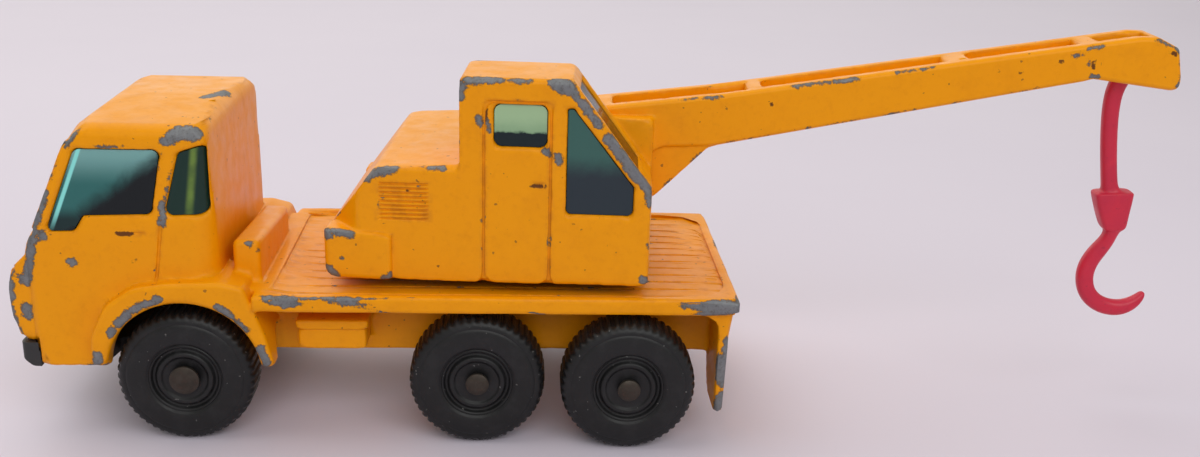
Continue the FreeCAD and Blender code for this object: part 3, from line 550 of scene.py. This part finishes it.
CRANE_MARKS = [
    ((3.7, -12.0, 26.3), (5.0, -12.0, 26.3), 0.2), ((-5.2, -12.0, 17.9), (-5.1, -12.0, 17.9), 0.12),
    ((-14.6, -12.3, 18.5), (-14.5, -12.3, 18.6), 0.16), ((10.9, -12.0, 20.6), (11.0, -12.0, 20.6), 0.1),
    ((7.7, -12.0, 22.6), (7.8, -12.0, 22.6), 0.13), ((9.0, -12.0, 18.0), (9.1, -12.0, 18.0), 0.08),
    ((12.9, -12.0, 25.6), (12.9, -12.0, 24.9), 0.1), ((-8.1, -12.0, 25.4), (-8.0, -12.0, 25.4), 0.13),
    ((-6.6, -12.0, 24.4), (-6.4, -12.0, 24.3), 0.12), ((-0.6, -12.0, 33.6), (-0.6, -12.0, 32.4), 0.16),
    ((26.9, -2.95, 32.9), (27.0, -2.95, 32.9), 0.2), ((49.0, -2.8, 37.0), (49.1, -2.8, 37.0), 0.14),
    ((51.2, -2.8, 36.9), (51.3, -2.8, 36.9), 0.2), ((51.0, -2.8, 34.9), (51.3, -2.8, 34.9), 0.16),
    ((55.0, -2.75, 38.1), (55.2, -2.75, 38.1), 0.2), ((58.3, -2.7, 38.3), (58.3, -2.7, 37.6), 0.2),
    ((65.9, -2.6, 39.3), (66.2, -2.6, 39.2), 0.22), ((44.6, -2.8, 36.4), (44.7, -2.8, 36.4), 0.12),
]


# ---------------------------------------------------------------- wheels, axles and hook

def lathe(name, profile, centre, out, steps, shape=None):
    """A ring mesh about an axle, from (radius, depth) points; out is 1 or -1, the side of depth 0."""
    points, faces = [], []
    count = len(profile)
    for i in range(steps):
        turn = 2 * math.pi * i / steps
        for j, (radius, depth) in enumerate(profile):
            r = radius - (shape(turn, radius) if shape else 0.0)
            points.append((centre.x + r * MM * math.cos(turn), centre.y + out * depth * MM,
                           centre.z + r * MM * math.sin(turn)))
    for i in range(steps):
        k = (i + 1) % steps
        for j in range(count):
            m = (j + 1) % count
            quad = (i * count + j, i * count + m, k * count + m, k * count + j)
            faces.append(quad if out < 0 else quad[::-1])
    mesh = bpy.data.meshes.new(name)
    mesh.from_pydata(points, [], faces)
    return mesh


def placed(mesh, node, material):
    """Cleans up a mesh and puts it in the place of a node that is a body of its own."""
    bm = bmesh.new()
    bm.from_mesh(mesh)
    bmesh.ops.remove_doubles(bm, verts=bm.verts, dist=1e-7)
    bmesh.ops.recalc_face_normals(bm, faces=bm.faces)
    shade(bm, 0.8)
    bm.to_mesh(mesh)
    bm.free()
    return add_piece(mesh, node, node, material)


# Half of a wheel's section: radius, and depth below its outer face.
WHEEL = [
    (0.86, -0.39), (2.02, -0.39), (2.14, -0.36), (2.22, -0.24), (2.32, -0.17), (2.5, -0.15), (2.62, -0.18),
    (2.72, -0.3), (2.82, -0.52), (2.92, -0.58), (3.08, -0.58), (3.16, -0.5), (3.22, -0.26), (3.3, -0.17),
    (3.42, -0.15), (3.5, -0.22), (3.58, -0.2), (3.68, -0.07), (3.82, -0.01), (4.3, 0.0), (4.84, -0.03),
    (5.35, -0.1), (5.55, -0.16), (5.63, -0.23), (5.73, -0.22), (5.9, -0.25), (6.17, -0.38), (6.37, -0.54),
    (6.52, -0.76), (6.6, -1.02), (6.63, -1.4), (6.63, -3.6), (6.59, -3.98), (6.47, -4.26), (6.25, -4.42),
    (5.95, -4.49), (5.38, -4.49), (5.18, -4.36), (5.05, -3.7), (2.3, -3.62), (2.12, -4.3), (1.95, -4.39),
    (0.86, -4.39),
]
TEETH = 50
TOOTH_DEPTH = 0.17
TOOTH_ROOT = 6.15                   # mm; the cuts begin at this radius

# An axle's domed head, for a head of 1 mm: radius, and depth from its end.
HEAD = [(0.0, 0.0), (0.45, -0.02), (0.8, -0.09), (1.0, -0.24), (1.02, -0.42), (0.98, -0.62), (0.8, -0.8)]
HEAD_SIZES = {"front": 1.42, "mid": 1.12, "rear": 1.1}
SHAFT_RADIUS = 0.72


def tread(turn, radius):
    """The cuts between the teeth, only on the outermost part."""
    if radius < TOOTH_ROOT:
        return 0.0
    deep = min(1.0, (radius - TOOTH_ROOT) / 0.4)
    wave = math.cos(TEETH * turn)
    return TOOTH_DEPTH * deep * (0.5 - 0.5 * max(-1.0, min(1.0, 2.6 * wave)))


def make_wheels(material, steel):
    """Wheels with a toothed tread, and axles with spun-over heads of their own size and lean."""
    for place, head in HEAD_SIZES.items():
        axle = "axle_" + place
        low, high = (Vector(c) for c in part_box(axle))
        for side, out in (("left", -1), ("right", 1)):
            node = "wheel_%s_%s" % (place, side)
            wheel_low, wheel_high = (Vector(c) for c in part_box(node))
            centre = (wheel_low + wheel_high) / 2
            centre.y = wheel_low.y if out < 0 else wheel_high.y
            mesh = lathe(node + "_moulded", WHEEL, centre, out, TEETH * 6, tread)
            placed(mesh, node, material)
        centre = (low + high) / 2
        half = (high.y - low.y) / 2 / MM
        ring = [(r * head, half + d) for r, d in HEAD]
        shaft = [(SHAFT_RADIUS, half - 0.82), (SHAFT_RADIUS, -half + 0.82)]
        profile = ring + shaft + [(r, -y) for r, y in reversed(ring)]
        points, faces = [], []
        steps = 40
        for i in range(steps):
            turn = 2 * math.pi * i / steps
            for j, (r, y) in enumerate(profile):
                lean = 0.05 * head * (r > 0.75) * math.cos(turn - 0.7 - 2.0 * (y > 0))
                points.append((centre.x + (r + lean) * MM * math.cos(turn), centre.y + y * MM,
                               centre.z + (r + lean) * MM * math.sin(turn)))
        count = len(profile)
        for i in range(steps):
            k = (i + 1) % steps
            for j in range(count - 1):
                faces.append((i * count + j, k * count + j, k * count + j + 1, i * count + j + 1))
        mesh = bpy.data.meshes.new(axle + "_spun")
        mesh.from_pydata(points, [], faces)
        placed(mesh, axle, steel)


# Stations down the hook in the crane's frame: x, z, half width, half thickness, squareness, heading.
HOOK = [
    (63.2, 38.6, 0.45, 0.5, 2.2, -110), (63.1, 38.3, 0.85, 0.78, 2.4, -114),
    (62.8, 37.2, 0.95, 0.82, 2.4, -118), (62.2, 36.05, 0.92, 0.82, 2.4, -116),
    (61.8, 34.9, 0.88, 0.82, 2.4, -103), (61.7, 33.5, 0.85, 0.82, 2.4, -90),
    (61.8, 31.6, 0.83, 0.81, 2.4, -84), (62.05, 29.6, 0.82, 0.81, 2.4, -82),
    (62.35, 27.6, 0.81, 0.8, 2.4, -81), (62.7, 25.6, 0.81, 0.8, 2.4, -80),
    (62.9, 24.65, 0.84, 0.82, 2.5, -81), (63.1, 24.34, 1.1, 0.98, 3, -86),
    (63.26, 24.28, 1.75, 1.15, 5, -87), (63.28, 24.2, 1.98, 1.22, 6, -86), (63.3, 24.0, 2.0, 1.22, 6, -85),
    (63.4, 23.3, 1.9, 1.22, 5, -84), (63.65, 21.5, 1.5, 1.22, 4.5, -83),
    (63.85, 20.6, 1.27, 1.2, 4.5, -84), (63.88, 20.3, 1.1, 1.08, 4, -86), (63.84, 20.12, 0.8, 0.9, 3, -90),
    (63.75, 19.6, 0.72, 0.8, 2.4, -97), (63.48, 18.85, 0.76, 0.8, 2.4, -113),
    (62.9, 17.95, 0.86, 0.82, 2.4, -126), (62.28, 17.0, 0.9, 0.82, 2.4, -117),
    (61.88, 16.0, 0.92, 0.82, 2.4, -103), (61.74, 14.9, 0.92, 0.82, 2.4, -90),
    (62.02, 13.5, 0.92, 0.82, 2.4, -67), (62.8, 12.36, 0.92, 0.82, 2.4, -45),
    (64.0, 11.6, 0.92, 0.82, 2.4, -22), (65.4, 11.33, 0.9, 0.82, 2.4, 0),
    (66.5, 11.52, 0.82, 0.8, 2.4, 18), (67.35, 12.0, 0.68, 0.74, 2.3, 36),
    (67.95, 12.65, 0.5, 0.62, 2.2, 52), (68.2, 13.1, 0.33, 0.45, 2.1, 60),
    (68.28, 13.26, 0.14, 0.2, 2.0, 62),
]


def make_hook(material):
    """A rounded bar lofted through the stations, with a squarer section at the weight block."""
    around = 16
    points, faces = [], []

    def power(value, exponent):
        return math.copysign(abs(value) ** (2 / exponent), value)

    for x, z, wide, thick, square, heading in HOOK:
        turn = math.radians(heading)
        across = (-math.sin(turn), math.cos(turn))
        for k in range(around):
            a = 2 * math.pi * (k + 0.5) / around
            u, v = wide * power(math.cos(a), square), thick * power(math.sin(a), square)
            points.append(crane(x + across[0] * u, v, z + across[1] * u))
    for i in range(len(HOOK) - 1):
        for k in range(around):
            m = (k + 1) % around
            faces.append((i * around + k, i * around + m, (i + 1) * around + m, (i + 1) * around + k))
    faces.append(tuple(range(around))[::-1])
    faces.append(tuple((len(HOOK) - 1) * around + k for k in range(around)))
    mesh = bpy.data.meshes.new("hook_moulded")
    mesh.from_pydata(points, [], faces)
    piece = placed(mesh, "hook", material)
    for edge in mesh.edges:
        edge.use_edge_sharp = False
    smooth = piece.modifiers.new("smooth", "SUBSURF")
    smooth.levels = smooth.render_levels = 2


# ---------------------------------------------------------------- camera, floor, light

CAMERA_PLACE = (24.967, -128.05, 61.0)          # in the truck's frame
CAMERA_TURN = (18.508, 1.891, -3.704)           # degrees: pitch down, roll, yaw
CAMERA_LENS = 38.32


def make_camera():
    pitch, roll, yaw = (math.radians(a) for a in CAMERA_TURN)
    right = Vector((math.cos(yaw), math.sin(yaw), 0))
    forward = Vector((-math.sin(yaw), math.cos(yaw), 0))
    up = Vector((0, 0, 1))
    look = math.cos(pitch) * forward - math.sin(pitch) * up
    tall = math.cos(pitch) * up + math.sin(pitch) * forward
    side = math.cos(roll) * right + math.sin(roll) * tall
    top = math.cos(roll) * tall - math.sin(roll) * right
    data = bpy.data.cameras.new("camera")
    data.lens = CAMERA_LENS
    data.sensor_width = 36
    data.clip_start = 0.005
    cam = bpy.data.objects.new("camera", data)
    bpy.context.scene.collection.objects.link(cam)
    matrix = Matrix([[side[i], top[i], -look[i]] for i in range(3)]).to_4x4()
    matrix.translation = truck(*CAMERA_PLACE)
    cam.matrix_world = matrix
    bpy.context.scene.camera = cam


def make_floor():
    mesh = bpy.data.meshes.new("floor")
    half = 3.0
    corners = [(-half, -half, 0), (half, -half, 0), (half, half, 0), (-half, half, 0)]
    mesh.from_pydata(corners, [], [(0, 1, 2, 3)])
    obj = bpy.data.objects.new("floor", mesh)
    bpy.context.scene.collection.objects.link(obj)
    mesh.materials.append(floor_sheet())


def area(name, place, aim, size, power, colour=(1, 1, 1)):
    """A soft box light, which the camera doesn't see."""
    data = bpy.data.lights.new(name, "AREA")
    data.shape = "RECTANGLE"
    data.size, data.size_y = size
    data.energy = power
    data.color = colour
    obj = bpy.data.objects.new(name, data)
    obj.location = place
    obj.rotation_euler = (Vector(aim) - Vector(place)).to_track_quat("-Z", "Y").to_euler()
    obj.visible_camera = False
    bpy.context.scene.collection.objects.link(obj)


def make_light():
    world = bpy.data.worlds.new("studio")
    world.use_nodes = True
    sky = world.node_tree.nodes["Background"]
    sky.inputs["Color"].default_value = (0.96, 0.97, 0.91, 1)
    sky.inputs["Strength"].default_value = 0.43
    bpy.context.scene.world = world
    area("top", (-0.20, 0.12, 0.50), (0, 0, 0.01), (0.6, 0.5), 1.5, (1.0, 0.98, 0.93))
    area("back", (-0.10, 0.75, 0.22), (0, 0, 0.05), (1.2, 0.4), 1.4, (1.0, 0.97, 0.90))
    area("front", (0.12, -0.42, 0.38), (0, 0, 0.02), (0.6, 0.3), 1.38)


# ---------------------------------------------------------------- the toy

def cab_tint_and_painted_light(n, x, y, z):
    """The truck's panes, with painted light and shade: painted light in teal at the upper front, painted
    shade nearly black below and behind.
    """
    # painted shade of the cab's inside, nearly black, below a ragged level that rises towards the back
    along = n.math("MULTIPLY", n.math("SUBTRACT", x, TRUCK_ZERO - 16.2), 0.72)
    level = n.math("SUBTRACT", n.math("SUBTRACT", z, 23.0), along)
    streak = n.math("MULTIPLY", n.math("SUBTRACT", n.noise(0.35, 4.0, 0.6, distortion=0.6), 0.5), 2.2)
    dark = n.ramp(n.math("ADD", level, streak), 1.5, -0.9)
    # painted light seen through the panes, in teal, paler towards the top
    through = n.mix(n.ramp(z, 25.5, 29.0), srgb(50, 112, 110), srgb(128, 180, 178))
    # more painted shade towards the bottom
    dark = n.math("MAXIMUM", dark, n.ramp(z, 23.8, 22.2, 0.0, 0.85))
    colour = n.mix(dark, through, srgb(12, 20, 24))
    # the rear side panes are dark green, with a painted olive highlight down the middle
    rear = n.ramp(x, TRUCK_ZERO - 9.0, TRUCK_ZERO - 8.6)
    painted_gleam_place = n.math("ADD", x, n.math("MULTIPLY", n.math("SUBTRACT", z, 23.0), -0.12))
    painted_gleam = n.math("ABSOLUTE", n.math("SUBTRACT", painted_gleam_place, TRUCK_ZERO - 6.2))
    painted_gleam = n.math("MULTIPLY", n.ramp(painted_gleam, 0.55, 0.05), n.ramp(n.noise(0.5, 3.0), 0.3, 0.6, 0.5, 1.0))
    green = n.mix(painted_gleam, srgb(16, 50, 42), srgb(112, 142, 62))
    colour = n.mix(rear, colour, green)
    # a painted highlight down the front edge of the door panes
    slope = n.math("MULTIPLY", n.math("SUBTRACT", z, 21.2), 0.392)
    gap = n.math("ABSOLUTE", n.math("SUBTRACT", n.math("SUBTRACT", x, TRUCK_ZERO - 19.0), slope))
    lip = n.math("MULTIPLY", n.ramp(gap, 0.27, 0.12), n.ramp(z, 20.8, 23.5))
    return n.mix(lip, colour, srgb(150, 244, 238))


def crane_tint_and_painted_light(n, x, y, z):
    """The crane's panes, with painted light over painted shade: pale mint over dark in the small one, teal
    over slate in the large one.
    """
    ragged = n.math("MULTIPLY", n.math("SUBTRACT", n.noise(0.9, 4.0, 0.7), 0.5), 0.9)
    level = n.math("ADD", z, ragged)
    # the small pane: painted light in pale mint above a ragged level, painted shade below it
    small = n.mix(n.ramp(level, 31.25, 31.55), srgb(30, 42, 46), srgb(172, 204, 160))
    small = n.mix(n.ramp(level, 31.5, 33.0, 0.45, 0.0), small, srgb(120, 158, 124))
    small = n.mix(n.ramp(level, 31.35, 31.25), small, srgb(30, 42, 46))
    # the large pane: painted light in teal above, painted shade in slate below
    large = n.mix(n.ramp(level, 27.0, 29.6), srgb(50, 60, 68), srgb(66, 106, 100))
    side = n.mix(n.ramp(x, SLEW.x / MM + 5.7, SLEW.x / MM + 6.0), small, large)
    # the sloped front pane lies inward of the side panes, and is nearly black with painted shade
    return n.mix(n.ramp(y, -11.6, -11.3), side, srgb(20, 26, 20))


def on(place, shapes):
    """Capsules in the shared frame, from those of the truck's or the crane's frame."""
    return [(place(*start), place(*end), radius) for start, end, radius in shapes]


def main():
    make_camera()
    make_floor()
    make_light()
    finishes = {
        "yellow_enamel": enamel(), "black_plastic": black_moulding(), "wheel_plastic": charcoal(),
        "plain_steel": tarnished_steel(), "red_plastic": crimson(),
    }
    panes = {
        "cab_glazing": tinted("cab_tint_and_painted_light", cab_tint_and_painted_light, 0.25),
        "crane_glazing": tinted("crane_tint_and_painted_light", crane_tint_and_painted_light, 0.12),
    }
    slots = {s["node"]: s["material_slot"] for s in record["subparts"]}
    for name, obj in frame["nodes"].items():
        obj.data.materials.clear()
        obj.data.materials.append(panes[name] if name in panes else finishes[slots[name]])
    yellow = finishes["yellow_enamel"]
    worn_casting("body_casting", "truck", on(truck, TRUCK_CHIPS), on(truck, TRUCK_MARKS), yellow)
    worn_casting("crane_casting", "crane", on(crane, CRANE_CHIPS), on(crane, CRANE_MARKS), yellow)
    make_wheels(finishes["wheel_plastic"], finishes["plain_steel"])
    make_hook(finishes["red_plastic"])


main()
bpy.context.scene.view_settings.view_transform = "Standard"
